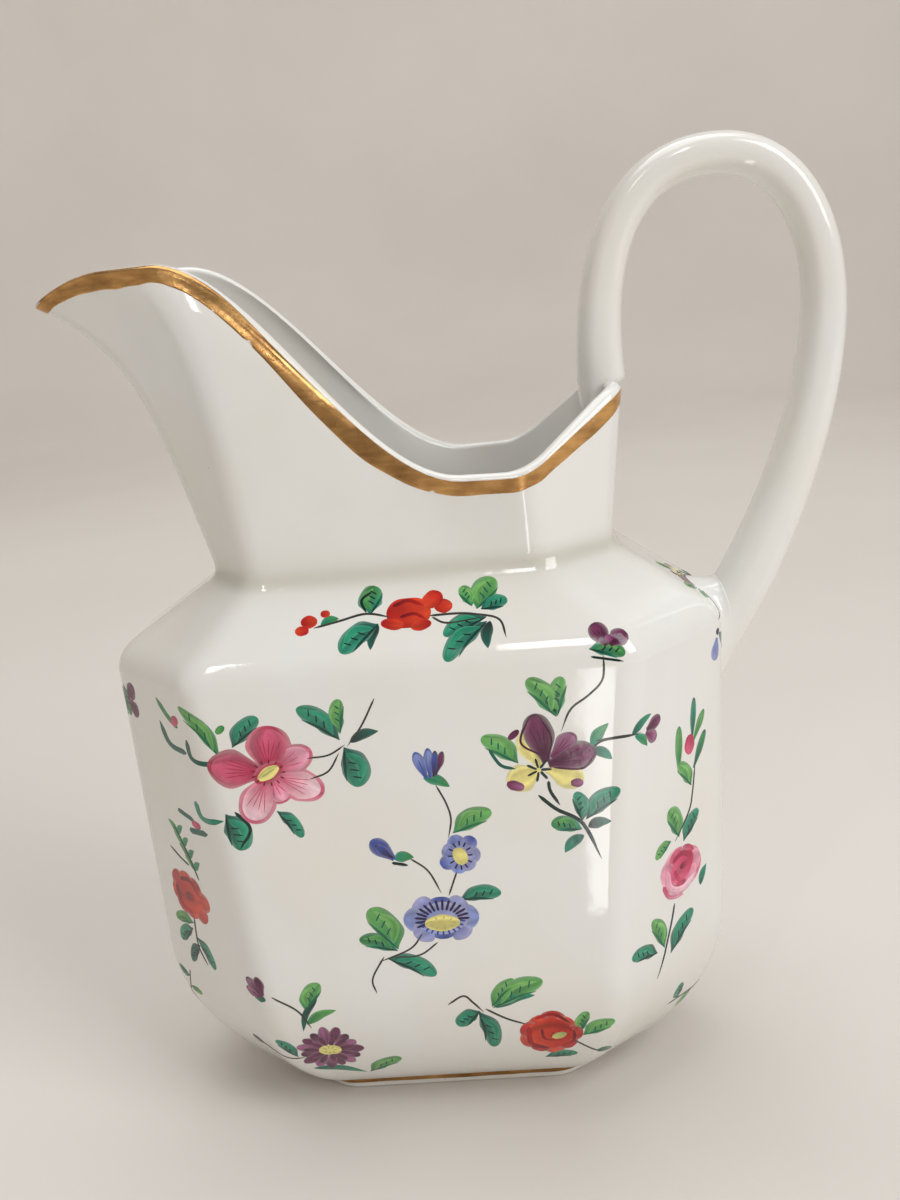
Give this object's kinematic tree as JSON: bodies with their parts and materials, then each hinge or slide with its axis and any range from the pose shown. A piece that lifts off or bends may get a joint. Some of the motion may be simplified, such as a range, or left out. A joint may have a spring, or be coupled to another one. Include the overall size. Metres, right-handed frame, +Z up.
{
  "type": "cream jug",
  "caption": "Porcelain cream jug with an eight-sided bowl, a sloping shoulder, a neck drawn out into a raised pouring spout and a high loop handle; stands on a low foot ring.",
  "frame": {"origin": "middle of the underside of the foot ring", "axes": "+Z up, -X towards the spout, +X towards the handle, +Y across the jug's width"},
  "size_m": [0.1289, 0.056, 0.1541],
  "materials": {
    "glazed_porcelain": "glossy clear glaze over white porcelain, with enamel flower sprays painted on it",
    "gilding": "burnished gilding, brownish and a little worn"
  },
  "bodies": {
    "root": {"bowl": "glazed_porcelain", "shoulder": "glazed_porcelain", "floor_slab": "glazed_porcelain", "foot_ring": "glazed_porcelain", "neck_and_spout": "glazed_porcelain", "handle": "glazed_porcelain", "upper_handle_slip": "glazed_porcelain", "lower_handle_slip": "glazed_porcelain", "rim_gilding": "gilding", "foot_gilding": "gilding"}
  },
  "joints": []
}
